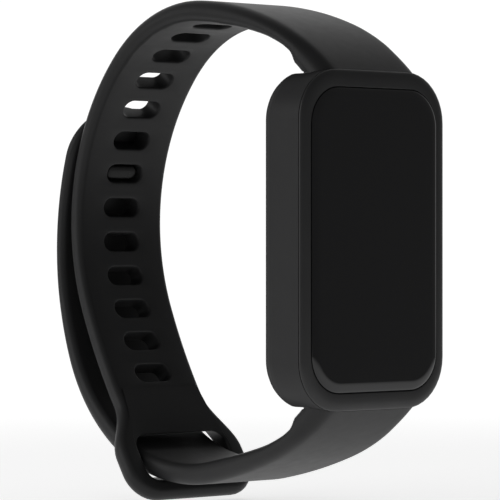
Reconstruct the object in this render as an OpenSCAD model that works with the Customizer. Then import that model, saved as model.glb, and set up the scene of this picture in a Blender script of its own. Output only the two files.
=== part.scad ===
// Fitness tracker band: a slim screen module held in a two-piece soft strap.
// The strap's free end runs out through a loop and is closed by a stud in one of its slots.
// Frame: X along the wrist's axis, -Y out of the screen, +Z along the screen towards the upper strap.
// The origin is the middle of the wrist opening. Millimetres.

/* [Case] */
// Width of the case across the screen
case_w = 25.2; // [25:0.1:25.6]
// Height of the case along the strap
case_h = 42.6; // [42.6:0.1:43]
// Depth from the front rim to the flat of the back
case_d = 8.4; // [8.4:0.1:8.8]
// Corner radius of the case, seen from the front
case_corner_r = 6.4; // [6.2:0.1:6.8]
// Rounding between the side walls and the back
back_round_r = 3; // [2.6:0.1:3]
// Thickness of the side walls
wall = 1.2; // [1:0.1:1.3]
// Depth of the front rim's parting line
rim_d = 0.7; // [0.6:0.05:0.8]
// Distance from the wrist's axis to the front rim
front_offset = 29.5; // [29:0.1:31]

/* [Screen] */
// Width of the cover glass
glass_w = 21.9; // [21.7:0.1:22]
// Height of the cover glass
glass_h = 38; // [37.8:0.1:38.1]
// Corner radius of the cover glass
glass_corner_r = 4.7; // [4.6:0.1:5]
// How far the glass stands out of the rim
glass_proud = 0.35; // [0.2:0.05:0.4]
// Width of the dark gap round the glass
glass_gap = 0.08; // [0.05:0.01:0.12]

/* [Back] */
// How far the sensor bump stands out of the back
bump_d = 1.24; // [1:0.01:1.3]
// Radius of the sensor window
window_r = 4.6; // [4.2:0.1:4.8]
// Radius of a charging contact
contact_r = 0.9; // [0.8:0.05:1]

/* [Strap] */
// Strap half width where it leaves the case
root_half_w = 8.5; // [8.2:0.1:8.6]
// Strap half width behind the case
strap_half_w = 7.55; // [7.4:0.05:7.7]
// Strap thickness against the case, where it flares
flare_t = 3.4; // [3:0.1:3.6]
// Strap thickness at its thinnest, just behind the flare
waist_t = 2.4; // [2.3:0.1:2.6]
// Strap thickness beside the wrist
root_t = 2.8; // [2.6:0.1:2.9]
// Thickness of the slotted strap round the back
strap_t = 2.5; // [2.4:0.05:2.5]
// Thickness of the other strap's free end
tail_t = 1.95; // [1.9:0.05:2]
// Length of the strap's middle layer from the case to the first slot
first_slot = 32.3; // [32.2:0.05:32.4]
// Pitch of the slots along the strap's middle layer
slot_pitch = 4.88; // [4.86:0.01:4.9]
// Length of a slot across the strap
slot_w = 6.4; // [6:0.1:6.6]
// Width of a slot along the strap
slot_h = 3; // [2.9:0.1:3.2]
// Distance along the lower strap from the case to the stud
stud_at = 88.2; // [88:0.1:88.4]
// Length of the stud across the strap
stud_w = 5.6; // [5:0.1:5.6]
// Width of the stud's head along the strap
stud_h = 2.2; // [2:0.1:2.2]
// Distance along the lower strap from the case to its tip
tip_at = 97.2; // [96.8:0.1:97.4]
// Distance from the stud to where the tail starts to bend
tail_bend = 12; // [11:0.5:14]

/* [Loop] */
// Greatest half width of the loop
loop_half_w = 10.7; // [10.5:0.1:10.9]
// Thickness of the loop's plate
loop_t = 2.7; // [2.6:0.1:2.8]
// Distance from the last slot to the loop's end
loop_len = 18.7; // [18.6:0.1:18.8]
// Half width of the loop's window
window_half_w = 8.3; // [8.2:0.05:8.4]
// Distance from the last slot to the middle of the window, on the inner face
window_at = 13.15; // [13.1:0.05:13.2]
// Length of the window along the inner face
window_len = 7.1; // [7:0.1:7.2]
// Slant of the window's walls, in degrees
window_slant = 36.5; // [35:0.5:38]

/* [Hidden] */
$fn = 48;

front_y = -front_offset;
far = 60;                       // longer than the whole object, for cuts
touch = 0.02;                   // overlap that joins two shapes into one solid
fit = 0.05;                     // clearance of a snug fit

// Cavity between the end blocks that hold the lug bars
cavity_half_h = 16;
end_wall = 0.9;
notch_half_w = root_half_w + 0.2;
notch_front = 2.6;              // depth where the lug notch starts
bar_r = 0.75;
bar_depth = 5.4;
bar_up = 18.6;
bar_half_w = notch_half_w + 0.7;
hook_r = 1.5;

// Rear opening and its ledge
rear_w = 18.6;
rear_h = 30.8;
rear_r = 3.5;
ledge = 1.1;
ledge_front = 6.6;
ledge_back = 7.4;
seal_t = 0.2;

// Screen stack, as depths behind the front rim
glass_back = 0.65;
ledge_w = 1.5;                  // bezel ledge under the glass's edge
panel_back = 1.35;
light_back = 1.9;
chassis_front = 2.05;
chassis_back = 2.6;
board_front = 2.95;
board_back = 3.55;
board_low = 5;                  // lower edge of the main board
flex_x = 6;                     // middle of the screen's cable
battery_front = 2.95;
battery_back = 6.45;
battery_top = 3.4;
battery_w = 18.8;

// Vibration motor, a flat coin type
motor_x = -5.4;
motor_up = 9.4;
motor_r = 3.5;
motor_front = board_back;
motor_back = 6.2;
shaft_r = 0.4;
running_gap = 0.04;

// Sensor stack
sensor_front = 7.2;
sensor_back = ledge_back + seal_t;
led_back = 8.1;
window_front = 8.35;
led_x = 2.6;

// Charging contacts, near the top of the back
contact_up = 13.1;
contact_x = 2;
magnet_x = 6;
magnet_r = 1.4;
magnet_t = 0.5;

// Outer face of the straps as tangent arcs: [radius, turn in degrees], from the case onwards
root_y = 0.2;                   // depth where the outer face would meet the case's end
root_z = 21;
root_heading = 43.9;
root_arc = [33, 24];
upper_arcs = [root_arc, [50.8, 16.5], [21.3, 48.8], [32.1, 67.1], [78.3, 10]];
lower_arcs = [root_arc, [76.5, 8.9], [27.8, 27], [24, 54], [43, 40]];
arc_step = 4;                   // degrees between the points of an arc
near_t = [[0, flare_t], [4.5, flare_t - 0.2], [7, waist_t + 0.1], [9, waist_t], [13, waist_t], [22, root_t]];
upper_t = concat(near_t, [[48, strap_t], [200, strap_t]]);
lower_t = concat(near_t, [[50, root_t], [72, tail_t], [200, tail_t]]);
tail_start = stud_at - tail_bend;
seam = 0.2;                     // gap between the lower strap and its tail
slot_count = 13;
flare_start = 4;                // distance from the last slot to the loop's flare
flare_end = 12.1;

// ---------------------------------------------------------------- shapes

// A flat shape drawn as X across and Z up, pushed back in depth from d0 to d1 behind the front rim.
module at_depth(d0, d1) {
    translate([0, front_y + d1, 0])
        rotate([90, 0, 0])
            linear_extrude(d1 - d0)
                children();
}

// Solids drawn as x across, y up, z depth behind the front rim.
module in_case() {
    translate([0, front_y, 0])
        rotate([90, 0, 0])
            mirror([0, 0, 1])
                children();
}

// A rounded rectangle.
module rounded(w, h, r) {
    square([w, h - 2 * r], center = true);
    square([w - 2 * r, h], center = true);
    for (x = [-1, 1], y = [-1, 1])
        translate([x * (w / 2 - r), y * (h / 2 - r)])
            circle(r);
}

// A rounded plate between two depths.
module plate(w, h, r, d0, d1) {
    at_depth(d0, d1) rounded(w, h, r);
}

// A rectangular block between two depths, from its middle.
module block(x, up, w, h, d0, d1) {
    at_depth(d0, d1)
        translate([x, up])
            square([w, h], center = true);
}

// A round post along the depth.
module post(x, up, r, d0, d1) {
    at_depth(d0, d1)
        translate([x, up])
            circle(r);
}

// Sweeps a profile (x out from the outline, y depth) round a rounded rectangle.
module swept_rim(w, h, r) {
    in_case() {
        for (side = [0, 1])
            mirror([side, 0, 0])
                translate([w / 2, h / 2 - r, 0])
                    rotate([90, 0, 0])
                        linear_extrude(h - 2 * r)
                            children();
        for (end = [0, 1])
            mirror([0, end, 0])
                translate([-w / 2 + r, h / 2, 0])
                    rotate([90, 0, 90])
                        linear_extrude(w - 2 * r)
                            children();
        for (side = [0, 1], end = [0, 1])
            mirror([side, 0, 0])
                mirror([0, end, 0])
                    translate([w / 2 - r, h / 2 - r, 0])
                        rotate_extrude(angle = 90)
                            translate([r, 0])
                                children();
    }
}

// A profile drawn as Y and Z, extruded w wide across the wrist's axis.
module across(w, x = 0) {
    translate([x - w / 2, 0, 0])
        rotate([90, 0, 90])
            linear_extrude(w)
                children();
}

// Quarter-round points about a centre, from one angle to another.
function arc_points(c, r, a0, a1, n) =
    [for (i = [0:n]) c + r * [cos(a0 + (a1 - a0) * i / n), sin(a0 + (a1 - a0) * i / n)]];

// ---------------------------------------------------------------- strap paths

// A point of a path is [y, z, heading, length so far].
function arc_end(p, arc) = let (c = [p[0], p[1]] + arc[0] * [sin(p[2]), -cos(p[2])], h = p[2] - arc[1])
    [c[0] - arc[0] * sin(h), c[1] + arc[0] * cos(h), h, p[3] + arc[0] * arc[1] * PI / 180];

function arc_at(p, arc, turn) = arc_end(p, [arc[0], turn]);

// The point at length s from p along the arcs.
function path_at(p, arcs, s, i = 0) =
    let (run = arcs[i][0] * arcs[i][1] * PI / 180)
    s <= p[3] + run || i == len(arcs) - 1
        ? arc_at(p, arcs[i], (s - p[3]) / arcs[i][0] * 180 / PI)
        : path_at(arc_end(p, arcs[i]), arcs, s, i + 1);

path_start = [front_y + root_y, root_z, root_heading, 0];

// Length of a whole path.
function path_length(arcs, i = 0) =
    i == len(arcs) ? 0 : arcs[i][0] * arcs[i][1] * PI / 180 + path_length(arcs, i + 1);

// Length along the upper strap's outer face where its middle layer is u long.
function outer_length(u, i = 0, s = 0) =
    let (r = upper_arcs[i][0], mid_r = r - strap_t / 2, turn = upper_arcs[i][1] * PI / 180)
    u <= turn * mid_r || i == len(upper_arcs) - 1
        ? s + u * r / mid_r
        : outer_length(u - turn * mid_r, i + 1, s + turn * r);

function slot_place(i) = outer_length(first_slot + i * slot_pitch);

last_slot = slot_place(slot_count - 1);
loop_start = path_length(upper_arcs);

// Sinks a path point below the outer face.
function sunk(p, depth) = [p[0] + depth * sin(p[2]), p[1] - depth * cos(p[2])];

// Path points from length s0 to s1, about one for each arc step.
function path_run(arcs, s0, s1) =
    let (n = ceil(abs(path_at(path_start, arcs, s1)[2] - path_at(path_start, arcs, s0)[2]) / arc_step) + 2)
    [for (i = [0:n]) path_at(path_start, arcs, s0 + (s1 - s0) * i / n)];

// Closed outline of a strap between two lengths, outer face first.
function band_outline(arcs, thick, s0, s1) =
    let (run = path_run(arcs, s0, s1), n = len(run) - 1)
    concat(
        [for (p = run) [p[0], p[1]]],
        [for (i = [0:n]) sunk(run[n - i], lookup(run[n - i][3], thick))]
    );

// Half width of a strap at a distance behind the front rim.
function half_width(d) =
    d < 6 ? root_half_w
    : d > 30 ? strap_half_w
    : strap_half_w + (root_half_w - strap_half_w) * (1 + cos(180 * (d - 6) / 24)) / 2;

// Everything within the strap's width, seen from above.
module strap_width() {
    depths = concat([-4], [for (d = [6:3:30]) d], [70]);
    edge = [for (d = depths) [half_width(d), front_y + d]];
    n = len(edge) - 1;
    translate([0, 0, -far])
        linear_extrude(2 * far)
            polygon(concat(edge, [for (i = [0:n]) [-edge[n - i][0], edge[n - i][1]]]));
}

// The space the case sweeps as it leaves the strap, with a small clearance.
module case_sweep() {
    plate(case_w + 0.3, case_h + 0.3, case_corner_r + 0.15, -far, 2 * case_d);
}

// A band of the strap, trimmed to its width and clear of the case.
module band(arcs, thick, s0, s1) {
    difference() {
        intersection() {
            across(far)
                polygon(band_outline(arcs, thick, s0, s1));
            strap_width();
        }
        case_sweep();
    }
}

// Moves a shape drawn as x across, y along the strap, z out, to length s on a path.
module on_strap(arcs, s, depth = 0) {
    p = path_at(path_start, arcs, s);
    q = sunk(p, depth);
    translate([0, q[0], q[1]])
        rotate([p[2], 0, 0])
            children();
}

// A pill-shaped prism, long side across the strap.
module pill(w, h, t) {
    linear_extrude(t) {
        square([w - h, h], center = true);
        for (x = [-1, 1])
            translate([x * (w - h) / 2, 0])
                circle(h / 2);
    }
}

// ---------------------------------------------------------------- case

// Side wall from the parting line round to the flat of the back.
module wall_profile() {
    polygon(concat(
        [[0, rim_d]],
        arc_points([-back_round_r, case_d - back_round_r], back_round_r, 0, 90, 8),
        [[-back_round_r - 0.5, case_d], [-back_round_r - 0.5, ledge_front], [-wall, ledge_front - 1],
         [-wall, rim_d]]
    ));
}

// Blocks at both ends of the case that carry the lug bars.
module end_blocks() {
    intersection() {
        plate(case_w - 2, case_h - 2, case_corner_r - 1, chassis_front, ledge_front + touch);
        for (end = [-1, 1])
            block(0, end * (cavity_half_h + case_h / 2) / 2, case_w, case_h / 2 - cavity_half_h, 0, case_d);
    }
}

module case_frame() {
    color("#373737")
        difference() {
            union() {
                swept_rim(case_w, case_h, case_corner_r) wall_profile();
                end_blocks();
                plate(case_w - 2 * back_round_r, case_h - 2 * back_round_r, case_corner_r - back_round_r,
                    ledge_front, case_d);
            }
            plate(rear_w, rear_h, rear_r, ledge_back, far);
            plate(rear_w - 2 * ledge, rear_h - 2 * ledge, rear_r - ledge, ledge_front - 1, far);
            for (end = [-1, 1]) {
                block(0, end * (cavity_half_h + end_wall + case_h / 4), 2 * notch_half_w, case_h / 2,
                    notch_front, far);
                across(2 * bar_half_w)
                    translate([front_y + bar_depth, end * bar_up])
                        circle(bar_r);
            }
        }
}

module front_bezel() {
    seat = glass_back + 0.1;
    color("#2f2f2f")
        difference() {
            union() {
                swept_rim(case_w, case_h, case_corner_r)
                    polygon([[0, rim_d], [-0.12, 0.42], [-0.38, 0.2], [-0.8, 0.06], [-1.25, 0], [-3.4, 0],
                             [-3.4, chassis_front - fit], [-wall - fit, chassis_front - fit],
                             [-wall - fit, rim_d]]);
                plate(case_w - 6, case_h - 6, case_corner_r - 3, 0, light_back);
            }
            plate(glass_w + 2 * glass_gap, glass_h + 2 * glass_gap, glass_corner_r + glass_gap, -1, seat);
            plate(glass_w - 2 * ledge_w, glass_h - 2 * ledge_w, glass_corner_r - ledge_w, -1, far);
        }
}

module cover_glass() {
    back = glass_back;
    front = -glass_proud;
    color("#141414") {
        swept_rim(glass_w, glass_h, glass_corner_r)
            polygon([[0, back], [0, front + 0.4], [-0.08, front + 0.22], [-0.24, front + 0.08],
                     [-0.5, front], [-1.5, front], [-1.5, back]]);
        plate(glass_w - 2, glass_h - 2, glass_corner_r - 1, front, back);
    }
}

module glass_adhesive() {
    color("#262626")
        difference() {
            plate(glass_w, glass_h, glass_corner_r, glass_back, glass_back + 0.1);
            plate(glass_w - 2 * ledge_w, glass_h - 2 * ledge_w, glass_corner_r - ledge_w, 0, far);
        }
}

module display_panel() {
    color("#101418")
        plate(glass_w - 2 * ledge_w - 0.4, glass_h - 2 * ledge_w - 0.4, glass_corner_r - ledge_w - 0.2,
            glass_back, panel_back);
}

module display_backlight() {
    color("#d8dade")
        plate(glass_w - 2 * ledge_w - 0.6, glass_h - 2 * ledge_w - 0.6, glass_corner_r - ledge_w - 0.3,
            panel_back, light_back);
}

// Flat cable from the foot of the screen, behind the backlight and through the chassis to its socket.
module display_flex() {
    near = light_back + 0.01;
    deep = chassis_back - 0.1;
    t = 0.12;
    color("#b5651d")
        across(5, flex_x)
            translate([front_y, 0])
                polygon([[near, -12], [near + t, -12], [near + t, 7.3], [deep + t, 7.9], [deep + t, 8.6],
                         [deep, 8.6], [deep, 7.95], [near, 7.35]]);
}

module inner_chassis() {
    half = cavity_half_h - 0.1;
    color("#3a3d42")
        difference() {
            plate(case_w - 2 * wall - 0.4, 2 * half, case_corner_r - wall - 0.2, chassis_front, chassis_back);
            block(0, -6.3, 16, 12, 0, far);
            block(flex_x, 8.1, 6, 2.6, 0, far);
            for (x = [-1, 1])
                post(x * 9.4, 12.2, 0.5, 0, far);
        }
}

module board_outline() {
    difference() {
        intersection() {
            rounded(case_w - 2 * wall - 1, case_h - 2 * wall - 1, case_corner_r - wall - 0.5);
            translate([0, (board_low + cavity_half_h - 0.4) / 2])
                square([case_w, cavity_half_h - 0.4 - board_low], center = true);
        }
        for (x = [-1, 1])
            translate([x * 9.4, 12.2])
                circle(0.6);
    }
}

module main_board() {
    color("#1d5c38")
        at_depth(board_front, board_back) board_outline();
}

// Processor, memory, charger and motion sensor on the back of the board.
module board_chips() {
    color("#24262a") {
        block(3.4, 8.4, 4.6, 4.2, board_back, board_back + 0.9);
        block(7.9, 7.6, 2.6, 3, board_back, board_back + 0.8);
        block(7.4, 10.9, 1.6, 1.6, board_back, board_back + 0.7);
        block(-1.6, 14, 1.6, 1.4, board_back, board_back + 0.6);
    }
}

// Pressed can over the radio, open towards the board.
module shield_can() {
    color("#b9bcc0")
        difference() {
            block(3.2, 13.2, 6.4, 3.4, board_back, board_back + 1.2);
            block(3.2, 13.2, 6, 3, 0, board_back + 1.05);
        }
}

module board_connector() {
    color("#1a1a1a")
        block(flex_x, 8.2, 5.6, 1.2, chassis_back + 0.02, board_front);
}

module board_screws() {
    color("#9ea2a6")
        for (x = [-1, 1]) {
            post(x * 9.4, 12.2, 0.45, chassis_front + 0.1, board_back + touch);
            post(x * 9.4, 12.2, 0.85, board_back, board_back + 0.4);
        }
}

module battery() {
    low = -cavity_half_h + 0.4;
    top = battery_top;
    color("#8d9196")
        at_depth(battery_front, battery_back)
            translate([0, (low + top) / 2])
                rounded(battery_w, top - low, 1.2);
}

module battery_board() {
    color("#1d5c38")
        block(-4, battery_top + 0.55, 9, 0.9, battery_front + 0.4, battery_front + 1.2);
}

module battery_tape() {
    color("#e4e0d0")
        block(0, (battery_top - cavity_half_h) / 2, 15, 14, chassis_back, battery_front);
}

// Two thin leads from the battery's board to the main board.
module battery_lead() {
    color("#a02020")
        for (x = [-6, -3])
            block(x, battery_top + 1.3, 0.5, 0.6, battery_front + 0.45, battery_front + 0.85);
}

// Flat aerial foil on the inside of the side wall.
module antenna_flex() {
    color("#c08a3c")
        at_depth(3.8, 5.4)
            translate([case_w / 2 - wall - 0.12, 3])
                square([0.12, 9.5]);
}

// ---------------------------------------------------------------- vibration motor

module motor_housing() {
    color("#c4c7ca")
        difference() {
            post(motor_x, motor_up, motor_r, motor_front, motor_back - 0.2);
            post(motor_x, motor_up, motor_r - 0.25, motor_front + 0.25, far);
            post(motor_x, motor_up, shaft_r, 0, far);
        }
}

module motor_cap() {
    color("#d0d2d4")
        difference() {
            post(motor_x, motor_up, motor_r, motor_back - 0.2, motor_back);
            post(motor_x, motor_up, shaft_r, 0, far);
        }
}

module motor_shaft() {
    color("#e6e6e6")
        post(motor_x, motor_up, shaft_r, motor_front, motor_back);
}

// Off-centre weight on a sleeve that runs on the fixed shaft. The heavy side hangs down.
module motor_rotor() {
    d0 = motor_front + 0.5;
    d1 = motor_back - 0.45;
    color("#6d6f73")
        difference() {
            union() {
                post(motor_x, motor_up, 0.9, d0, d1);
                intersection() {
                    post(motor_x, motor_up, motor_r - 0.5, d0, d1);
                    block(motor_x, motor_up - motor_r / 2, 2 * motor_r, motor_r, d0, d1);
                }
            }
            post(motor_x, motor_up, shaft_r + running_gap, 0, far);
        }
}

// ---------------------------------------------------------------- back

module sensor_board() {
    color("#14305c")
        plate(14, 17, 2, sensor_front, sensor_back);
}

// Flat cable from the sensor board up and forward to the top of the main board.
module sensor_flex() {
    t = 0.15;
    top = 13.8;
    color("#b5651d")
        across(3, -5.4)
            translate([front_y, 0])
                polygon([[sensor_front, 6.6], [sensor_front, top], [board_back, top], [board_back, top - t],
                         [sensor_front - t, top - t], [sensor_front - t, 6.6]]);
}

module sensor_leds() {
    color("#7ec97e")
        for (x = [-1, 1])
            block(x * led_x, 0, 1.3, 1.3, sensor_back, led_back);
}

module photodiode() {
    color("#20252e")
        block(0, 0, 2, 2.4, sensor_back, led_back - 0.1);
}

// Black walls that keep the light of the LEDs from the photodiode.
module light_barrier() {
    color("#0c0c0c")
        difference() {
            post(0, 0, window_r - 0.3, sensor_back, window_front);
            block(0, 0, 2.4, 2.8, 0, far);
            for (x = [-1, 1])
                block(x * led_x, 0, 1.7, 1.9, 0, far);
        }
}

module sensor_window() {
    color("#15171c")
        post(0, 0, window_r, window_front, case_d + bump_d);
}

module rear_cover() {
    front = ledge_back + seal_t;
    color("#303030")
        difference() {
            union() {
                plate(rear_w - 2 * fit, rear_h - 2 * fit, rear_r - fit, front, case_d);
                swept_rim(14, 18, 6)
                    polygon([[1.6, case_d - touch], [0.7, case_d + 0.3], [-0.1, case_d + 0.8],
                             [-0.9, case_d + bump_d - 0.15], [-1.8, case_d + bump_d - 0.05],
                             [-3, case_d + bump_d - 0.05], [-3, case_d - touch]]);
                plate(10, 14, 4, case_d - touch, case_d + bump_d - 0.05);
            }
            post(0, 0, window_r + fit, window_front, far);
            post(0, 0, window_r - 0.3 + fit, 0, far);
            for (x = [-1, 1]) {
                post(x * contact_x, contact_up, contact_r + 0.25, 0, far);
                post(x * magnet_x, contact_up, magnet_r, 0, front + magnet_t);
            }
        }
}

module rear_seal() {
    color("#5a2020")
        difference() {
            plate(rear_w - 0.4, rear_h - 0.4, rear_r - 0.2, ledge_back, ledge_back + seal_t);
            plate(rear_w - 2 * ledge + 0.2, rear_h - 2 * ledge + 0.2, rear_r - ledge + 0.1, 0, far);
        }
}

module charging_contacts() {
    color("#d4af5a")
        for (x = [-1, 1])
            post(x * contact_x, contact_up, contact_r, ledge_front + 0.2, case_d + 0.05);
}

module contact_seals() {
    color("#16181a")
        for (x = [-1, 1])
            difference() {
                post(x * contact_x, contact_up, contact_r + 0.25, ledge_back + seal_t, case_d - 0.1);
                post(x * contact_x, contact_up, contact_r, 0, far);
            }
}

module charging_magnets() {
    color("#c9ccd0")
        for (x = [-1, 1])
            post(x * magnet_x, contact_up, magnet_r, ledge_back + seal_t, ledge_back + seal_t + magnet_t);
}

// ---------------------------------------------------------------- strap fixings

module lug_bar(end) {
    color("#a8abae")
        across(2 * bar_half_w)
            translate([front_y + bar_depth, end * bar_up])
                circle(bar_r);
}

// Tongue of a connector, moulded into the strap's root.
module connector_tongue() {
    s0 = 3.2;
    s1 = 8;
    across(14)
        polygon(concat(
            [for (s = [s0, s1]) sunk(path_at(path_start, upper_arcs, s), 0.9)],
            [for (s = [s1, s0 + 2]) sunk(path_at(path_start, upper_arcs, s), 1.9)],
            [[front_y + bar_depth + 0.5, bar_up + 1.2], [front_y + bar_depth - 1.2, bar_up + 1.2]]
        ));
}

// Hard clip: a tongue in the strap and two hooks that snap over the lug bar from behind.
module connector() {
    color("#232323")
        difference() {
            union() {
                connector_tongue();
                for (x = [-1, 1])
                    across(4, x * 4.6) {
                        translate([front_y + bar_depth, bar_up])
                            circle(hook_r);
                        translate([front_y + bar_depth - hook_r, bar_up - hook_r])
                            square([hook_r, 2 * hook_r]);
                    }
            }
            across(far) {
                translate([front_y + bar_depth, bar_up])
                    circle(bar_r + fit);
                translate([front_y + bar_depth - 4, bar_up - bar_r - fit])
                    square([4, 2 * (bar_r + fit)]);
            }
        }
}

module below() {
    mirror([0, 0, 1]) children();
}

// ---------------------------------------------------------------- straps

// Half width of the loop's plate at a distance past the last slot.
function loop_half(y) =
    let (share = min(max((y - flare_start) / (flare_end - flare_start), 0), 1))
    strap_half_w + (loop_half_w - strap_half_w) * (1 - cos(180 * share)) / 2;

// Outline of the loop's plate: x across, y along it from the last slot.
module loop_outline() {
    r = 4.3;
    flare = flare_end - flare_start;
    ys = concat([loop_start - last_slot - 0.5], [for (i = [0:7]) flare_start + flare * i / 7]);
    right = concat(
        [for (y = ys) [loop_half(y), y]],
        arc_points([loop_half_w - r, loop_len - r], r, 0, 90, 7)
    );
    n = len(right) - 1;
    polygon(concat(right, [for (i = [0:n]) [-right[n - i][0], right[n - i][1]]]));
}

// Plate with a slanted window, which the lower strap passes through.
module loop_plate() {
    on_strap(upper_arcs, loop_start, loop_t)
        translate([0, last_slot - loop_start, 0])
            difference() {
                linear_extrude(loop_t)
                    loop_outline();
                translate([0, window_at, 0])
                    rotate([window_slant, 0, 0])
                        translate([0, 0, -6])
                            linear_extrude(14)
                                rounded(2 * window_half_w, window_len * cos(window_slant), 1.6);
            }
}

module upper_strap() {
    color("#2b2b2b")
        difference() {
            union() {
                band(upper_arcs, upper_t, 0, loop_start);
                loop_plate();
            }
            for (i = [0:slot_count - 1])
                on_strap(upper_arcs, slot_place(i), 5)
                    pill(slot_w, slot_h, 8);
            connector_tongue();
        }
}

module lower_strap() {
    color("#2b2b2b")
        difference() {
            below()
                band(lower_arcs, lower_t, 0, tail_start - seam / 2);
            below()
                connector_tongue();
        }
}

// Rounded free end, seen square to its face.
module tip_trim() {
    below()
        on_strap(lower_arcs, tip_at - strap_half_w, 4)
            difference() {
                translate([0, strap_half_w, 0])
                    linear_extrude(8)
                        square([4 * strap_half_w, 2 * strap_half_w], center = true);
                translate([0, 0, -1])
                    linear_extrude(10)
                        circle(strap_half_w);
            }
}

module strap_tail() {
    color("#2b2b2b")
        difference() {
            below()
                band(lower_arcs, lower_t, tail_start + seam / 2, tip_at);
            tip_trim();
            below()
                on_strap(lower_arcs, stud_at, tail_t)
                    translate([0, 0, -1])
                        pill(stud_w - 1, stud_h - 0.8, 2.2);
        }
}

// Stud that is pressed into the tail. Its neck and wider head sit in a slot of the upper strap.
module closing_stud() {
    head = 1.1;
    neck = 1.04;
    color("#1c1c1c")
        below()
            on_strap(lower_arcs, stud_at, tail_t + neck + head) {
                pill(stud_w, stud_h, head);
                pill(stud_w - 0.8, stud_h - 0.6, neck + head - 0.04);
                pill(stud_w - 1, stud_h - 0.8, neck + head + 1.2);
            }
}

module upper_connector() { connector(); }
module lower_connector() { below() connector(); }
module upper_lug_bar() { lug_bar(1); }
module lower_lug_bar() { lug_bar(-1); }

case_frame();
front_bezel();
cover_glass();
glass_adhesive();
display_panel();
display_backlight();
display_flex();
inner_chassis();
main_board();
board_chips();
shield_can();
board_connector();
board_screws();
battery();
battery_board();
battery_tape();
battery_lead();
motor_housing();
motor_shaft();
motor_rotor();
motor_cap();
sensor_board();
sensor_flex();
sensor_leds();
photodiode();
light_barrier();
sensor_window();
rear_cover();
rear_seal();
charging_contacts();
contact_seals();
charging_magnets();
antenna_flex();
upper_lug_bar();
lower_lug_bar();
upper_connector();
lower_connector();
upper_strap();
lower_strap();
strap_tail();
closing_stud();
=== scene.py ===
"""A fitness tracker band on a plain studio floor.

Soft straps, a stud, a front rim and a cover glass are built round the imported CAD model.
"""
import math

import bmesh
import bpy
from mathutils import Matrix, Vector

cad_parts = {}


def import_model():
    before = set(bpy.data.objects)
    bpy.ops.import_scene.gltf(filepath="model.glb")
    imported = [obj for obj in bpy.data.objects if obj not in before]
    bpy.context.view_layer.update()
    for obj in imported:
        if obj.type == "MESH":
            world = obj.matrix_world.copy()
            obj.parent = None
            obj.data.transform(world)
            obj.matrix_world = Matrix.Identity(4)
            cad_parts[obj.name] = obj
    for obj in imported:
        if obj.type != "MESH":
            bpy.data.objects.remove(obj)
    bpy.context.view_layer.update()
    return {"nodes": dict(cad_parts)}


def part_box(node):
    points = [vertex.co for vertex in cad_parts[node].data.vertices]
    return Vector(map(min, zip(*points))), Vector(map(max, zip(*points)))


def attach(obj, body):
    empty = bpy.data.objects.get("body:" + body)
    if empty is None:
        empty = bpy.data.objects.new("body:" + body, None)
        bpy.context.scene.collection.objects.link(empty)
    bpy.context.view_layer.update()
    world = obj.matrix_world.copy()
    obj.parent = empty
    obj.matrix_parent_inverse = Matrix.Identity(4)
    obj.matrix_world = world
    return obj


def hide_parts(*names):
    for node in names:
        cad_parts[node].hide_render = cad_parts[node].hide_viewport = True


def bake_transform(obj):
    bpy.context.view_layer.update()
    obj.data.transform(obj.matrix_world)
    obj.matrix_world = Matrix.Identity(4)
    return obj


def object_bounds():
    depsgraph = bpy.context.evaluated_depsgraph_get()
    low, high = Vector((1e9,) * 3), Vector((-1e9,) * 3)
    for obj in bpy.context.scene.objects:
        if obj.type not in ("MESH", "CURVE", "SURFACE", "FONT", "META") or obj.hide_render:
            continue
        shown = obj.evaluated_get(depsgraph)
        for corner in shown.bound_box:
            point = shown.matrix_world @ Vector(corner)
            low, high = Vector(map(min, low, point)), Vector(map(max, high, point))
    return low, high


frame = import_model()
MM = 0.001

# ---------------------------------------------------------------- sizes, in millimetres

CASE_LOW, CASE_HIGH = (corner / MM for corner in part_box("case_frame"))
RIM_LOW, _ = (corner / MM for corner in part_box("front_bezel"))
CASE_W = CASE_HIGH.x - CASE_LOW.x
CASE_H = CASE_HIGH.z - CASE_LOW.z
CASE_CORNER = 6.4
FRONT_Y = RIM_LOW.y

# Outer faces of the straps as tangent arcs: (radius, turn in degrees) from the case on.
ROOT = (FRONT_Y + 0.2, 21.0, 43.9)
ROOT_ARC = (33.0, 24.0)
LOOP_ARC = (4000.0, 1.0)        # all but straight
UPPER_ARCS = [ROOT_ARC, (50.8, 16.5), (21.3, 48.8), (32.1, 67.1), (78.3, 10.0), LOOP_ARC]
LOWER_ARCS = [ROOT_ARC, (76.5, 8.9), (27.8, 27.0), (24.0, 54.0), (43.0, 40.0)]
ROOT_GAP = 0.02                 # between a strap's root and the case's end
ROOT_HALF_W = 8.5
STRAP_HALF_W = 7.55
TAPER_START = 6                 # depth behind the front rim where a strap starts to narrow
TAPER_RUN = 24

# Thickness near the case, as (length, thickness), and farther along the straps.
NEAR_T = [(0, 3.5), (4.5, 3.3), (5.5, 2.9), (7, 2.45), (9, 2.3), (13, 2.35), (22, 2.8)]
NEAR_END = 22                   # length by which the flare and the waist have run out
ROOT_T = 2.8
STRAP_T = 2.5
STRAP_T_RUN = 26                # length over which the upper strap thins to STRAP_T
TAIL_T = 1.95
TAIL_T_START = 50               # where the lower strap starts to thin to TAIL_T
TAIL_T_RUN = 22
TIP_AT = 97.2
STUD_AT = 88.2

# Slots, evenly spaced along the strap's middle layer. They narrow from the inner face to the outer.
FIRST_SLOT = 32.3
SLOT_PITCH = 4.88
SLOTS = 13
SLOT_FLAT = 3.4                 # straight part of a slot's long side
SLOT_R_OUT = 1.08
SLOT_R_IN = 1.36
SLOT_FILLET = 0.26

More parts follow.
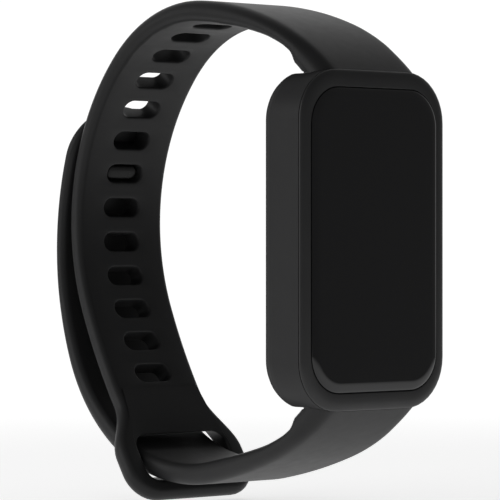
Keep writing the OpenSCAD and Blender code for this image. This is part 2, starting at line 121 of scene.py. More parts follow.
LOOP_HALF_W = 10.7
LOOP_LENGTH = 18.7
LOOP_CORNER = 4.3
LOOP_T = 2.7
FLARE_START = 4.0
FLARE_END = 12.1
WINDOW_HALF_W = 7.95
WINDOW_HALF_H = 3.45
WINDOW_CORNER = 2.0
WINDOW_FILLET = 0.35
WINDOW_PLACE = 13.15            # from the last slot to the window's middle, on the inner face
WINDOW_SLANT = math.tan(math.radians(36.5))

# Rounding of the straps' long edges, across the strap and as shares of its thickness.
ROOT_OUTER_ROUND = 2.0
ROOT_INNER_ROUND = 2.2
ROUND_RUN = 30                  # length over which the root's rounding eases to the strap's
OUTER_ROUND = 1.4
OUTER_SHARE = 0.57
INNER_ROUND = 0.95
INNER_SHARE = 0.42


# ---------------------------------------------------------------- strap paths

def arc_step(point, radius, turn):
    """The point at the end of an arc that starts at (y, z, heading)."""
    y, z, heading = point
    a, b = math.radians(heading), math.radians(heading - turn)
    return (
        y + radius * (math.sin(a) - math.sin(b)),
        z - radius * (math.cos(a) - math.cos(b)),
        heading - turn,
    )


def make_path(arcs):
    """Arcs with the point and the length where each starts."""
    path, point, length = [], ROOT, 0.0
    for radius, turn in arcs:
        path.append((length, point, radius, turn))
        length += radius * math.radians(turn)
        point = arc_step(point, radius, turn)
    return path


def path_at(path, s):
    """(y, z, heading) of the outer face at length s."""
    found = path[0]
    for arc in path:
        if arc[0] <= s:
            found = arc
    start, point, radius, _ = found
    return arc_step(point, radius, math.degrees((s - start) / radius))


UPPER = make_path(UPPER_ARCS)
LOWER = make_path(LOWER_ARCS)


def outer_length(u):
    """Length along the upper strap's outer face where its middle layer is u long."""
    s = 0.0
    for radius, turn in UPPER_ARCS:
        mid = radius - STRAP_T / 2
        run = math.radians(turn) * mid
        if u <= run:
            return s + u * radius / mid
        u -= run
        s += math.radians(turn) * radius
    return s


SLOT_PLACES = [outer_length(FIRST_SLOT + i * SLOT_PITCH) for i in range(SLOTS)]
LAST_SLOT = SLOT_PLACES[-1]
LOOP_END = LAST_SLOT + LOOP_LENGTH
WINDOW_AT = LAST_SLOT + WINDOW_PLACE


def placed(path, side, x, s, n):
    """Row-frame point of strap coordinates: x across, s along, n below the outer face."""
    y, z, heading = path_at(path, s)
    a = math.radians(heading)
    return Vector((x, y + n * math.sin(a), side * (z - n * math.cos(a)))) * MM


def clamp(t):
    return min(max(t, 0.0), 1.0)


def smooth_step(t):
    t = clamp(t)
    return t * t * (3 - 2 * t)


def half_width(path, s):
    """Half width of a strap, which narrows between two depths behind the front rim."""
    depth = path_at(path, s)[0] - FRONT_Y
    t = clamp((depth - TAPER_START) / TAPER_RUN)
    return STRAP_HALF_W + (ROOT_HALF_W - STRAP_HALF_W) * (1 + math.cos(math.pi * t)) / 2


def near_thickness(s):
    """Thickness from the flare at the case, over a slight waist, to the strap beside the wrist."""
    if s <= NEAR_T[0][0]:
        return NEAR_T[0][1]
    for (s0, t0), (s1, t1) in zip(NEAR_T, NEAR_T[1:]):
        if s < s1:
            return t0 + (t1 - t0) * (s - s0) / (s1 - s0)
    return ROOT_T


def upper_thickness(s):
    t = near_thickness(s) + (STRAP_T - ROOT_T) * clamp((s - NEAR_END) / STRAP_T_RUN)
    return t + (LOOP_T - STRAP_T) * smooth_step((s - LAST_SLOT - 2) / 6)


def lower_thickness(s):
    return near_thickness(s) + (TAIL_T - ROOT_T) * clamp((s - TAIL_T_START) / TAIL_T_RUN)


def case_edge(x):
    """Height of the case's end at a distance across it."""
    over = abs(x) - (CASE_W / 2 - CASE_CORNER)
    if over <= 0:
        return CASE_H / 2
    return CASE_H / 2 - CASE_CORNER + math.sqrt(max(CASE_CORNER ** 2 - over ** 2, 0))


def root_start(path, x, n):
    """Length at which a strap fibre meets the case's end."""
    low, high = -3.0, 10.0
    goal = case_edge(x) + ROOT_GAP
    for _ in range(40):
        mid = (low + high) / 2
        y, z, heading = path_at(path, mid)
        if z - n * math.cos(math.radians(heading)) < goal:
            low = mid
        else:
            high = mid
    return high


# ---------------------------------------------------------------- mesh building

def outer_round(s):
    """Rounding across the outer face's edges, widest at the case."""
    return OUTER_ROUND + (ROOT_OUTER_ROUND - OUTER_ROUND) * (1 - smooth_step(s / ROUND_RUN))


def inner_round(s):
    """Rounding across the inner face's edges, widest at the case."""
    return INNER_ROUND + (ROOT_INNER_ROUND - INNER_ROUND) * (1 - smooth_step(s / ROUND_RUN))


class StrapMesh:
    """Collects faces in strap coordinates, then lays them along a path."""

    ROOT_END = 8.0      # length by which the trimmed root has run out
    ACROSS = 16         # faces across the strap

    def __init__(self, path, side, thickness):
        self.path, self.side, self.thickness = path, side, thickness
        self.index, self.points, self.faces = {}, [], []

    def v(self, x, s, n):
        key = (round(x, 4), round(s, 4), round(n, 4))
        if key not in self.index:
            self.index[key] = len(self.points)
            self.points.append((x, s, n))
        return self.index[key]

    def face(self, *corners):
        kept = list(dict.fromkeys(corners))
        if len(kept) > 2:
            self.faces.append(kept)

    def band(self, row_a, row_b):
        """Quads between two rows of vertices."""
        for i in range(len(row_a) - 1):
            self.face(row_a[i], row_a[i + 1], row_b[i + 1], row_b[i])

    def side_offsets(self, s):
        """(distance out from the edge, depth) round the strap's long edge, outer face first."""
        t = self.thickness(s)
        outer = [
            (-outer_round(s) * (1 - math.sin(a)), OUTER_SHARE * t * (1 - math.cos(a)))
            for a in (math.pi / 2 * i / 8 for i in range(9))
        ]
        inner = [
            (-inner_round(s) * (1 - math.cos(a)), t - INNER_SHARE * t * (1 - math.sin(a)))
            for a in (math.pi / 2 * i / 6 for i in range(7))
        ]
        return outer + inner

    def edge_row(self, x, s, nx, ns, fixed_s=None):
        """Vertices round the edge at an outline point with outward normal (nx, ns)."""
        row = []
        for out, n in self.side_offsets(s):
            px, ps = x + nx * out, s + ns * out
            if fixed_s is not None:
                ps = fixed_s(px, n)
            row.append(self.v(px, ps, n))
        return row

    def trimmed(self, share):
        """Length of a fibre at a share of the root zone."""
        def length(x, n):
            start = root_start(self.path, x, n)
            return start + (self.ROOT_END - start) * share
        return length

    def cross_row(self, s, inset, n, fixed_s=None):
        """Vertices straight across one face."""
        half = half_width(self.path, s) - inset
        row = []
        for i in range(self.ACROSS + 1):
            x = half * (2 * i / self.ACROSS - 1)
            row.append(self.v(x, s if fixed_s is None else fixed_s(x, n), n))
        return row

    def station(self, s, fixed_s=None):
        """Four rows of the section at s: outer face, inner face, left edge, right edge."""
        w = half_width(self.path, s)
        return (
            self.cross_row(s, outer_round(s), 0.0, fixed_s),
            self.cross_row(s, inner_round(s), self.thickness(s), fixed_s),
            self.edge_row(-w, s, -1, 0, fixed_s),
            self.edge_row(w, s, 1, 0, fixed_s),
        )

    def root(self):
        """The trimmed start at the case, with its end cap. Returns its last station."""
        steps = 8
        stations = []
        for k in range(steps + 1):
            share = k / steps
            s = self.ROOT_END * share
            stations.append(self.station(s, self.trimmed(share) if k < steps else None))
        outer, inner, left, right = stations[0]
        self.band(outer, inner)
        self.face(*left)
        self.face(*right)
        for a, b in zip(stations, stations[1:]):
            self.join(a, b)
        return stations[-1]

    def join(self, a, b):
        for row_a, row_b in zip(a, b):
            self.band(row_a, row_b)

    def run(self, last, s0, s1, step):
        """Plain strap from one length to another."""
        count = max(1, round((s1 - s0) / step))
        for i in range(1, count + 1):
            here = self.station(s0 + (s1 - s0) * i / count)
            self.join(last, here)
            last = here
        return last

    def ringed_hole(self, outer_ring, inner_ring, hole, s_mid, fillet):
        """A filleted hole. The rings are face borders as (x, s).

        hole(i, out, share) is its outline, grown by out, at a share of the depth.
        """
        count = len(outer_ring)
        t = self.thickness(s_mid)
        rings = [self.spread(outer_ring, hole, fillet, 0.0, 0.0, share) for share in (0.0, 0.5)]
        for k in range(5):
            a = math.pi / 2 * k / 4
            out, n = fillet * (1 - math.sin(a)), fillet * (1 - math.cos(a))
            rings.append([(*hole(i, out, n / t), n) for i in range(count)])
        for k in range(5):
            a = math.pi / 2 * k / 4
            out, n = fillet * (1 - math.cos(a)), t - fillet * (1 - math.sin(a))
            rings.append([(*hole(i, out, n / t), n) for i in range(count)])
        rings += [self.spread(inner_ring, hole, fillet, 1.0, t, share) for share in (0.5, 0.0)]
        for lower, upper in zip(rings, rings[1:]):
            a = [self.v(*p) for p in lower]
            b = [self.v(*p) for p in upper]
            self.band(a + a[:1], b + b[:1])

    @staticmethod
    def spread(ring, hole, fillet, depth_share, n, share):
        """A ring part of the way from a face's border to the hole's rim."""
        points = []
        for i, (x, s) in enumerate(ring):
            rim_x, rim_s = hole(i, fillet, depth_share)
            points.append((x + (rim_x - x) * share, s + (rim_s - s) * share, n))
        return points

    def cell(self, last, s0, s_mid, s1):
        """One slot's cell of the strap."""
        sides = 8
        along = [s0 + (s1 - s0) * k / sides for k in range(sides + 1)]
        previous = last
        for s in along[1:]:
            here = self.station(s)
            self.band(previous[2], here[2])
            self.band(previous[3], here[3])
            previous = here

        def border(inset):
            ring = [((half_width(self.path, s0) - inset) * (2 * i / self.ACROSS - 1), s0)
                    for i in range(self.ACROSS)]
            ring += [(half_width(self.path, s) - inset, s) for s in along[:-1]]
            ring += [((half_width(self.path, s1) - inset) * (1 - 2 * i / self.ACROSS), s1)
                     for i in range(self.ACROSS)]
            ring += [(inset - half_width(self.path, s), s) for s in reversed(along[1:])]
            return ring

        def pill(i, out, depth_share):
            flat = SLOT_FLAT / 2
            r = SLOT_R_OUT + (SLOT_R_IN - SLOT_R_OUT) * depth_share + out
            if 4 <= i <= 12:
                return flat * (i - 8) / 4, s_mid - r
            if 28 <= i <= 36:
                return flat * (32 - i) / 4, s_mid + r
            if 12 < i < 28:
                a = math.radians(-90 + 11.25 * (i - 12))
                return flat + r * math.cos(a), s_mid + r * math.sin(a)
            a = math.radians(90 + 11.25 * ((i - 36) % 48))
            return -flat + r * math.cos(a), s_mid + r * math.sin(a)

        self.ringed_hole(border(OUTER_ROUND), border(INNER_ROUND), pill, s_mid, SLOT_FILLET)
        return previous

    def build(self, name):
        mesh = bpy.data.meshes.new(name)
        mesh.from_pydata([placed(self.path, self.side, *p) for p in self.points], [], self.faces)
        return finish_mesh(mesh, name)


def finish_mesh(mesh, name, sharp=35.0, merge=2e-6):
    """Cleans a mesh, turns its faces outwards, shades it and links it as an object."""
    bm = bmesh.new()
    bm.from_mesh(mesh)
    bmesh.ops.remove_doubles(bm, verts=bm.verts, dist=merge)
    bmesh.ops.recalc_face_normals(bm, faces=bm.faces)
    bm.to_mesh(mesh)
    bm.free()
    for polygon in mesh.polygons:
        polygon.use_smooth = True
    mesh.set_sharp_from_angle(angle=math.radians(sharp))
    obj = bpy.data.objects.new(name, mesh)
    bpy.context.scene.collection.objects.link(obj)
    return obj


def loft(name, rings, closed, sharp=30.0):
    """Joins rings in order. Closed: the last joins the first. Otherwise both ends are capped."""
    count = len(rings[0])
    last = len(rings) - 1
    faces = []
    pairs = [(k, k + 1) for k in range(last)] + ([(last, 0)] if closed else [])
    for a, b in pairs:
        for i in range(count):
            j = (i + 1) % count
            faces.append((a * count + i, a * count + j, b * count + j, b * count + i))
    if not closed:
        faces.append(tuple(range(count)))
        faces.append(tuple(range(last * count, (last + 1) * count)))
    mesh = bpy.data.meshes.new(name)
    mesh.from_pydata([point for ring in rings for point in ring], [], faces)
    return finish_mesh(mesh, name, sharp)


# ---------------------------------------------------------------- straps

def loop_half(s):
    """Half width of the strap as it flares into the loop."""
    t = clamp((s - LAST_SLOT - FLARE_START) / (FLARE_END - FLARE_START))
    return STRAP_HALF_W + (LOOP_HALF_W - STRAP_HALF_W) * (1 - math.cos(math.pi * t)) / 2


def loop_outline(start):
    """(x, s, nx, ns) down the right side of the loop, round its end and up the left side."""
    corner = LOOP_END - LOOP_CORNER
    right = []
    for i in range(18):
        s = start + (corner - start) * i / 18
        slope = (loop_half(s + 0.01) - loop_half(s - 0.01)) / 0.02 if i else 0.0
        size = math.hypot(1, slope)
        right.append((loop_half(s), s, 1 / size, -slope / size))
    centre = LOOP_HALF_W - LOOP_CORNER
    for i in range(11):
        a = math.radians(45 * i / 6) if i < 6 else math.radians(45 + 45 * (i - 6) / 4)
        right.append((centre + LOOP_CORNER * math.cos(a), corner + LOOP_CORNER * math.sin(a),
                      math.cos(a), math.sin(a)))
    bottom = [(centre * (1 - 2 * i / 8), LOOP_END, 0.0, 1.0) for i in range(1, 8)]
    left = [(-x, s, -nx, ns) for x, s, nx, ns in reversed(right)]
    return right + bottom + left


def window(i, out, depth_share):
    """Point i of the slanted window's outline, matched to the loop's border."""
    half_w = WINDOW_HALF_W + out
    half_h = WINDOW_HALF_H + out
    r = WINDOW_CORNER + out
    # Segments of each stretch: half corner, straight, half corner.
    stretches = [(4, 8, 4), (6, 12, 6), (4, 8, 4), (6, 12, 6)]
    turns = [-90, 0, 90, 180]
    side = 0
    while i >= sum(stretches[side]):
        i -= sum(stretches[side])
        side += 1
    lead, flat, trail = stretches[side]
    across = side % 2 == 0
    run = (half_w if across else half_h) - r
    stand = half_h if across else half_w
    if i < lead:
        a = math.radians(-45 * (1 - i / lead))
        along, off = -run + r * math.sin(a), stand - r + r * math.cos(a)
    elif i <= lead + flat:
        along, off = run * (2 * (i - lead) / flat - 1), stand
    else:
        a = math.radians(45 * (i - lead - flat) / trail)
        along, off = run + r * math.sin(a), stand - r + r * math.cos(a)
    b = math.radians(turns[side])
    x = off * math.cos(b) - along * math.sin(b)
    s = off * math.sin(b) + along * math.cos(b)
    return x, WINDOW_AT + s - (1 - depth_share) * LOOP_T * WINDOW_SLANT


def upper_strap():
    mesh = StrapMesh(UPPER, 1, upper_thickness)
    bounds = [(a + b) / 2 for a, b in zip(SLOT_PLACES, SLOT_PLACES[1:])]
    bounds = [2 * SLOT_PLACES[0] - bounds[0]] + bounds + [2 * LAST_SLOT - bounds[-1]]
    last = mesh.run(mesh.root(), mesh.ROOT_END, bounds[0], 0.9)
    for s0, s_mid, s1 in zip(bounds, SLOT_PLACES, bounds[1:]):
        last = mesh.cell(last, s0, s_mid, s1)
    outline = loop_outline(bounds[-1])
    rows = [mesh.edge_row(*point) for point in outline]
    for a, b in zip(rows, rows[1:]):
        mesh.band(a, b)

    def border(inset):
        half = STRAP_HALF_W - inset
        ring = [(half * (2 * i / mesh.ACROSS - 1), bounds[-1]) for i in range(mesh.ACROSS)]
        ring += [(x - nx * inset, s - ns * inset) for x, s, nx, ns in outline[:-1]]
        return ring

    mesh.ringed_hole(border(OUTER_ROUND), border(INNER_ROUND), window, LOOP_END, WINDOW_FILLET)
    return mesh.build("upper_strap_skin")


def lower_strap():
    mesh = StrapMesh(LOWER, -1, lower_thickness)
    bend = TIP_AT - STRAP_HALF_W
    last = mesh.run(mesh.root(), mesh.ROOT_END, bend, 0.9)
    steps = 22
    for k in range(1, steps + 1):
        a = math.pi / 2 * k / steps
        rows = []
        for inset, n in ((OUTER_ROUND, 0.0), (INNER_ROUND, TAIL_T)):
            r = STRAP_HALF_W - inset
            half, s = r * math.cos(a), bend + r * math.sin(a)
            rows.append([mesh.v(half * (2 * i / mesh.ACROSS - 1), s, n) for i in range(mesh.ACROSS + 1)])
        x, s = STRAP_HALF_W * math.cos(a), bend + STRAP_HALF_W * math.sin(a)
        rows.append(mesh.edge_row(-x, s, -math.cos(a), math.sin(a)))
        rows.append(mesh.edge_row(x, s, math.cos(a), math.sin(a)))
        mesh.join(last, rows)
        last = rows
    return mesh.build("lower_strap_skin")


def pill_ring(w, h, count=48):
    """Points of a pill outline about its middle."""
    flat = (w - h) / 2
    r = h / 2
    ring = []
    for i in range(count):
        a = 2 * math.pi * (i + 0.5) / count
        x = flat if math.cos(a) > 0 else -flat
        ring.append((x + r * math.cos(a), r * math.sin(a)))
    return ring


def stud():
    """Glossy stud rooted in the tail: a neck and a wider head with a rounded rim and a slight dome."""
    head_w = 5.5
    head_h = 2.15
    top = TAIL_T + 2.2
    under = TAIL_T + 1.1
    fillet = 0.4
    # Each level is how far it lies inside the head's outline, and its depth below the tail's outer face.
    levels = [
        (0.45, TAIL_T - 0.6), (0.45, TAIL_T + 0.6), (0.4, under - 0.1), (0.25, under),
        (0.1, under + 0.04), (0.0, under + 0.15), (0.0, top - fillet),
    ]
    levels += [(fillet * (1 - math.cos(a)), top - fillet * (1 - math.sin(a)))
               for a in (math.pi / 2 * k / 6 for k in range(1, 7))]
    levels += [(fillet + 0.2, top + 0.04), (fillet + 0.45, top + 0.06)]
    rings = []
    for inset, n in levels:
        ring = pill_ring(head_w - 2 * inset, head_h - 2 * inset)
        rings.append([placed(LOWER, -1, x, STUD_AT + s, n) for x, s in ring])
    return loft("stud_skin", rings, closed=False, sharp=35.0)


# ---------------------------------------------------------------- case front

GLASS_LOW, GLASS_HIGH = (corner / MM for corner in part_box("cover_glass"))
GLASS_W = GLASS_HIGH.x - GLASS_LOW.x
GLASS_H = GLASS_HIGH.z - GLASS_LOW.z
GLASS_CORNER = 4.7
GLASS_BACK = GLASS_HIGH.y - FRONT_Y
GLASS_FRONT = GLASS_LOW.y - FRONT_Y
GLASS_GAP = 0.08
GLASS_LEDGE = 1.45              # width of the ledge under the glass
PARTING = 0.7                   # depth of the line between the front rim and the case
RIM_FLANGE = 1.3                # how far the rim's hidden flange lies inside the case
RIM_BACK = 2.0


def rounded_ring(w, h, r, depth, steps=10):
    """Points of a rounded rectangle at a depth behind the front rim, as many for every size."""
    ring = []
    for turn, (cx, cz) in enumerate([(1, 1), (-1, 1), (-1, -1), (1, -1)]):
        for i in range(steps + 1):
            a = math.pi / 2 * (turn + i / steps)
            x = cx * (w / 2 - r) + r * math.cos(a)
            z = cz * (h / 2 - r) + r * math.sin(a)
            ring.append(Vector((x, FRONT_Y + depth, z)) * MM)
        # Straight to the next corner, with a point a third of the way from each end.
        next_cx, next_cz = [(-1, 1), (-1, -1), (1, -1), (1, 1)][turn]
        a = math.pi / 2 * (turn + 1)
        x = next_cx * (w / 2 - r) + r * math.cos(a)
        z = next_cz * (h / 2 - r) + r * math.sin(a)
        end = Vector((x, FRONT_Y + depth, z)) * MM
        start = ring[-1]
        ring += [start.lerp(end, 1 / 3), start.lerp(end, 2 / 3)]
    return ring


def case_ring(inset, depth):
    return rounded_ring(CASE_W - 2 * inset, CASE_H - 2 * inset, CASE_CORNER - inset, depth)


def glass_ring(grow, depth):
    return rounded_ring(GLASS_W + 2 * grow, GLASS_H + 2 * grow, GLASS_CORNER + grow, depth)


def bezel():
    """Front rim: a soft shoulder from the parting line to a narrow flat rim round the glass pocket."""
    rings = [
        case_ring(RIM_FLANGE, RIM_BACK), case_ring(RIM_FLANGE, PARTING + 0.02),
        case_ring(0.16, PARTING + 0.02), case_ring(0.08, PARTING - 0.02), case_ring(0.02, PARTING - 0.1),
    ]
    for k in range(11):
        a = math.pi / 2 * k / 10
        rings.append(case_ring(1.2 * (1 - math.cos(a)) + 0.01, (PARTING - 0.14) * (1 - math.sin(a))))
    lip = 0.1
    rings.append(glass_ring(GLASS_GAP + lip, 0.0))
    for k in range(1, 4):
        a = math.pi / 2 * k / 3
        rings.append(glass_ring(GLASS_GAP + lip * (1 - math.sin(a)), lip * (1 - math.cos(a))))
    pocket = GLASS_BACK + 0.1
    rings.append(glass_ring(GLASS_GAP, pocket))
    rings += [glass_ring(-GLASS_LEDGE, depth) for depth in (pocket, RIM_BACK)]
    return loft("bezel_skin", rings, closed=True)


def cover_glass():
    """Cover glass with a softly curved edge and a flat middle."""
    chamfer = 0.06
    curve_start = 0.06
    curve_w = 1.3
    rings = [
        glass_ring(-chamfer, GLASS_BACK), glass_ring(0.0, GLASS_BACK - chamfer), glass_ring(0.0, curve_start),
    ]
    for k in range(1, 13):
        a = math.pi / 2 * k / 12
        depth = curve_start - (curve_start - GLASS_FRONT) * math.sin(a)
        rings.append(glass_ring(-curve_w * (1 - math.cos(a)), depth))
    return loft("glass_skin", rings, closed=False)


# ---------------------------------------------------------------- materials

def material(name, color, roughness, **values):
    """A principled material. Other values go to the shader's sockets by name."""
    mat = bpy.data.materials.new(name)
    mat.use_nodes = True
    nodes = mat.node_tree.nodes
    shader = nodes["Principled BSDF"]
    shader.inputs["Base Color"].default_value = (*color, 1)
    shader.inputs["Roughness"].default_value = roughness
    shader.inputs["Emission Color"].default_value = (1, 1, 1, 1)
    for key, value in values.items():
        shader.inputs[key.replace("_", " ")].default_value = value
    return mat


def noise(mat, scale, detail=4.0, roughness=0.6):
    """Noise in the object's own coordinates."""
    nodes, links = mat.node_tree.nodes, mat.node_tree.links
    coordinates = nodes.new("ShaderNodeTexCoord")
    texture = nodes.new("ShaderNodeTexNoise")
    texture.inputs["Scale"].default_value = scale
    texture.inputs["Detail"].default_value = detail
    texture.inputs["Roughness"].default_value = roughness
    links.new(coordinates.outputs["Object"], texture.inputs["Vector"])
    return texture


def vary_color(mat, low, high, scale):
    """Varies the base colour softly between two colours."""
    nodes, links = mat.node_tree.nodes, mat.node_tree.links
    ramp = nodes.new("ShaderNodeValToRGB")
    ramp.color_ramp.elements[0].position = 0.35
    ramp.color_ramp.elements[0].color = (*low, 1)
    ramp.color_ramp.elements[1].position = 0.68
    ramp.color_ramp.elements[1].color = (*high, 1)
    links.new(noise(mat, scale).outputs["Fac"], ramp.inputs["Fac"])
    links.new(ramp.outputs["Color"], nodes["Principled BSDF"].inputs["Base Color"])


def vary_roughness(mat, low, high, scale):
    """Varies the roughness softly between two values."""
    nodes, links = mat.node_tree.nodes, mat.node_tree.links
    spread = nodes.new("ShaderNodeMapRange")
    spread.inputs["From Min"].default_value = 0.3
    spread.inputs["From Max"].default_value = 0.7
    spread.inputs["To Min"].default_value = low
    spread.inputs["To Max"].default_value = high
    links.new(noise(mat, scale).outputs["Fac"], spread.inputs["Value"])
    links.new(spread.outputs["Result"], nodes["Principled BSDF"].inputs["Roughness"])


def bump(mat, scale, strength, distance):
    """Fine moulded texture."""
    nodes, links = mat.node_tree.nodes, mat.node_tree.links
    node = nodes.new("ShaderNodeBump")
    node.inputs["Strength"].default_value = strength
    node.inputs["Distance"].default_value = distance
    links.new(noise(mat, scale, 3.0, 0.5).outputs["Fac"], node.inputs["Height"])
    links.new(node.outputs["Normal"], nodes["Principled BSDF"].inputs["Normal"])


def moulded(name, color, roughness, spread=0.05, grain=9000, depth=0.00001, **values):
    """Moulded plastic or rubber with a fine grain and faint unevenness."""
    mat = material(name, color, roughness, **values)
    low = tuple(c * (1 - spread) for c in color)
    high = tuple(c * (1 + spread) for c in color)
    vary_color(mat, low, high, 160)
    vary_roughness(mat, roughness - 0.02, roughness + 0.02, 700)
    bump(mat, grain, 0.25, depth)
    return mat


def metal(name, color, roughness):
    mat = material(name, color, roughness, Metallic=1.0)
    vary_roughness(mat, roughness - 0.08, roughness + 0.1, 900)
    bump(mat, 5000, 0.15, 0.000005)
    return mat


STRAP_MAT = moulded("soft_strap", (0.02, 0.02, 0.0205), 0.46, Specular_IOR_Level=0.2)
CASE_MAT = moulded("case_satin", (0.021, 0.021, 0.0215), 0.5, grain=12000, Specular_IOR_Level=0.2)
RIM_MAT = moulded("rim_satin", (0.018, 0.018, 0.0185), 0.44, grain=12000, Specular_IOR_Level=0.4)
CLIP_MAT = moulded("clip_plastic", (0.02, 0.02, 0.02), 0.45)
BACK_MAT = moulded("back_satin", (0.016, 0.016, 0.0165), 0.34, grain=12000)
STUD_MAT = moulded("stud_polished", (0.01, 0.01, 0.01), 0.26, depth=0.000003, Specular_IOR_Level=0.18)
STEEL = metal("steel", (0.55, 0.56, 0.57), 0.3)
GOLD = metal("gold_plate", (0.86, 0.64, 0.27), 0.25)
DARK_METAL = metal("sintered_weight", (0.3, 0.3, 0.31), 0.5)
BOARD = moulded("solder_mask", (0.02, 0.13, 0.05), 0.4)
SENSOR_BOARD = moulded("sensor_mask", (0.015, 0.04, 0.15), 0.4)
CHIP = moulded("chip_resin", (0.02, 0.02, 0.022), 0.5)
FOIL = moulded("amber_foil", (0.5, 0.22, 0.04), 0.35)
POUCH = metal("battery_pouch", (0.6, 0.62, 0.64), 0.4)
FOAM = moulded("foam_tape", (0.65, 0.62, 0.52), 0.9, grain=3000, depth=0.00004)
WIRE = moulded("wire_red", (0.4, 0.02, 0.02), 0.4)
SEAL = moulded("seal_rubber", (0.02, 0.02, 0.02), 0.7)
LIGHT_GUIDE = moulded("light_guide", (0.75, 0.76, 0.78), 0.3)
LED = moulded("led_resin", (0.35, 0.6, 0.35), 0.2)


def glass(name, color, roughness=0.04):
    mat = material(name, color, roughness, Coat_Weight=0.0)
    vary_roughness(mat, roughness, roughness + 0.03, 60)
    return mat


GLASS_MAT = glass("cover_glass_dark", (0.0055, 0.0055, 0.006))
WINDOW_MAT = glass("sensor_window_dark", (0.006, 0.005, 0.008), 0.06)
SCREEN_MAT = glass("screen_dark", (0.006, 0.007, 0.009), 0.15)

NODE_LOOKS = {
    "case_frame": CASE_MAT, "glass_adhesive": SEAL,
    "display_panel": SCREEN_MAT, "display_backlight": LIGHT_GUIDE, "display_flex": FOIL,
    "inner_chassis": CLIP_MAT, "main_board": BOARD, "board_chips": CHIP, "shield_can": STEEL,
    "board_connector": CHIP, "board_screws": STEEL, "battery": POUCH, "battery_board": BOARD,
    "battery_tape": FOAM, "battery_lead": WIRE, "antenna_flex": FOIL, "motor_housing": STEEL,
    "motor_cap": STEEL, "motor_shaft": STEEL, "motor_rotor": DARK_METAL, "sensor_board": SENSOR_BOARD,
    "sensor_flex": FOIL, "sensor_leds": LED, "photodiode": CHIP, "light_barrier": CHIP,
    "sensor_window": WINDOW_MAT, "rear_cover": BACK_MAT, "rear_seal": SEAL, "charging_contacts": GOLD,
    "contact_seals": SEAL, "charging_magnets": STEEL, "upper_lug_bar": STEEL, "lower_lug_bar": STEEL,
    "upper_connector": CLIP_MAT, "lower_connector": CLIP_MAT,
}


def give(obj, mat):
    """Makes a material the object's only one."""
    obj.data.materials.clear()
    obj.data.materials.append(mat)


for node_name, look in NODE_LOOKS.items():
    node_object = frame["nodes"][node_name]
    for place in node_object.material_slots:
        place.material = look

# ---------------------------------------------------------------- pieces

upper = upper_strap()
give(upper, STRAP_MAT)
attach(upper, "strap")
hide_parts("upper_strap")

lower = lower_strap()
give(lower, STRAP_MAT)
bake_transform(lower)
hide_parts("lower_strap", "strap_tail")

plug = stud()
give(plug, STUD_MAT)
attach(plug, "tail")
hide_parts("closing_stud")

rim = bezel()
give(rim, RIM_MAT)
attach(rim, "tracker")
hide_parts("front_bezel")

pane = cover_glass()
give(pane, GLASS_MAT)
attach(pane, "tracker")
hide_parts("cover_glass")

# ---------------------------------------------------------------- studio

FLOOR_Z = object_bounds()[0][2] - 0.0005

# Where the camera stands, as a bearing and a distance from the case's front, and the way it looks.
BEARING = math.radians(44.73)
DISTANCE = 0.3961
HEADING = math.radians(42.46)
VIEW = Vector((math.sin(HEADING), math.cos(HEADING), 0))


def brightness(nodes, links, direction):
    """Surroundings by direction: white beyond the object, a dim room on the viewer's side."""
    along = nodes.new("ShaderNodeVectorMath")
    along.operation = "DOT_PRODUCT"
    along.inputs[1].default_value = VIEW
    level = nodes.new("ShaderNodeMapRange")
    level.interpolation_type = "SMOOTHSTEP"
    level.inputs["From Min"].default_value = 0.4
    level.inputs["From Max"].default_value = 0.95
    level.inputs["To Min"].default_value = 0.16
    level.inputs["To Max"].default_value = 1.06
    links.new(direction, along.inputs[0])
    links.new(along.outputs["Value"], level.inputs["Value"])
    return level.outputs["Result"]


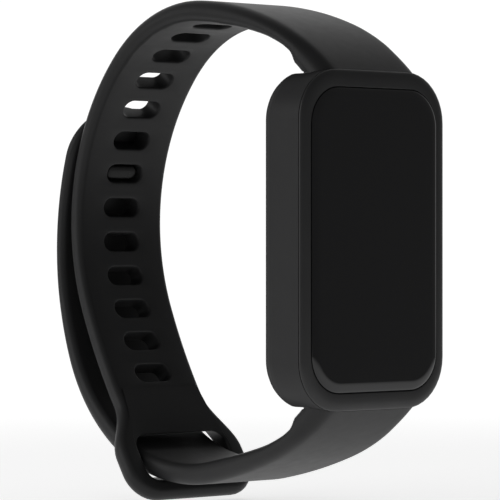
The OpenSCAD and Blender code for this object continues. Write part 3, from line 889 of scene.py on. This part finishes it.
def floor():
    """White paper under the object with a painted glow: it emits light at a fixed strength near the object,
    and farther out it glows with the same brightness by direction as the surroundings.
    """
    mesh = bpy.data.meshes.new("floor")
    r = 4.0
    count = 96
    rim = [(r * math.cos(2 * math.pi * i / count), r * math.sin(2 * math.pi * i / count), FLOOR_Z)
           for i in range(count)]
    mesh.from_pydata(rim, [], [tuple(range(count))])
    obj = bpy.data.objects.new("floor", mesh)
    bpy.context.scene.collection.objects.link(obj)
    mat = material("floor_paper_painted_glow", (0.9, 0.9, 0.9), 0.9, Specular_IOR_Level=0.0)
    nodes, links = mat.node_tree.nodes, mat.node_tree.links
    shader = nodes["Principled BSDF"]
    coordinates = nodes.new("ShaderNodeTexCoord")
    distance = nodes.new("ShaderNodeVectorMath")
    distance.operation = "LENGTH"
    links.new(coordinates.outputs["Object"], distance.inputs[0])
    away = nodes.new("ShaderNodeMapRange")
    away.interpolation_type = "SMOOTHSTEP"
    away.inputs["From Min"].default_value = 0.09
    away.inputs["From Max"].default_value = 0.3
    links.new(distance.outputs["Value"], away.inputs["Value"])
    direction = nodes.new("ShaderNodeVectorMath")
    direction.operation = "NORMALIZE"
    links.new(coordinates.outputs["Object"], direction.inputs[0])
    # Painted glow: near the object the floor emits white light at strength 0.62 on top of its white paper
    # colour.
    glow = nodes.new("ShaderNodeMix")
    glow.inputs["A"].default_value = 0.62
    links.new(away.outputs["Result"], glow.inputs["Factor"])
    # Painted glow and shade: farther out the floor's emission follows the surroundings' brightness by
    # direction, white beyond the object and dim on the viewer's side.
    links.new(brightness(nodes, links, direction.outputs["Vector"]), glow.inputs["B"])
    links.new(glow.outputs["Result"], shader.inputs["Emission Strength"])
    # Farther out the paper colour fades to black, so there the floor shows only its painted glow.
    paper = nodes.new("ShaderNodeMix")
    paper.data_type = "RGBA"
    paper.inputs["A"].default_value = (0.9, 0.9, 0.9, 1)
    paper.inputs["B"].default_value = (0, 0, 0, 1)
    links.new(away.outputs["Result"], paper.inputs["Factor"])
    links.new(paper.outputs["Result"], shader.inputs["Base Color"])
    obj.data.materials.append(mat)


def area_light(name, position, target, size, power):
    """A large soft light that faces the target."""
    light = bpy.data.lights.new(name, "AREA")
    light.shape = "RECTANGLE"
    light.size, light.size_y = size
    light.energy = power
    obj = bpy.data.objects.new(name, light)
    obj.location = position
    obj.rotation_euler = (Vector(target) - Vector(position)).to_track_quat("-Z", "Y").to_euler()
    bpy.context.scene.collection.objects.link(obj)


def world():
    """Surroundings that light the object and show behind it."""
    scene_world = bpy.data.worlds.new("studio")
    scene_world.use_nodes = True
    nodes, links = scene_world.node_tree.nodes, scene_world.node_tree.links
    coordinates = nodes.new("ShaderNodeTexCoord")
    background = nodes["Background"]
    background.inputs["Color"].default_value = (1, 1, 1, 1)
    links.new(brightness(nodes, links, coordinates.outputs["Generated"]), background.inputs["Strength"])
    bpy.context.scene.world = scene_world


def camera():
    """A long lens, level with the case."""
    data = bpy.data.cameras.new("camera")
    data.sensor_width = 36.0
    data.lens = 227.4
    data.shift_y = -0.0196
    data.clip_start = 0.01
    obj = bpy.data.objects.new("camera", data)
    obj.location = (-DISTANCE * math.sin(BEARING), FRONT_Y * MM - DISTANCE * math.cos(BEARING), 0)
    obj.rotation_euler = VIEW.to_track_quat("-Z", "Y").to_euler()
    bpy.context.scene.collection.objects.link(obj)
    bpy.context.scene.camera = obj


bpy.context.scene.view_settings.view_transform = "Standard"
floor()
world()
camera()
area_light("left", (-0.8, 0.4, 0.1), (0, 0, 0), (0.8, 0.9), 4.2)
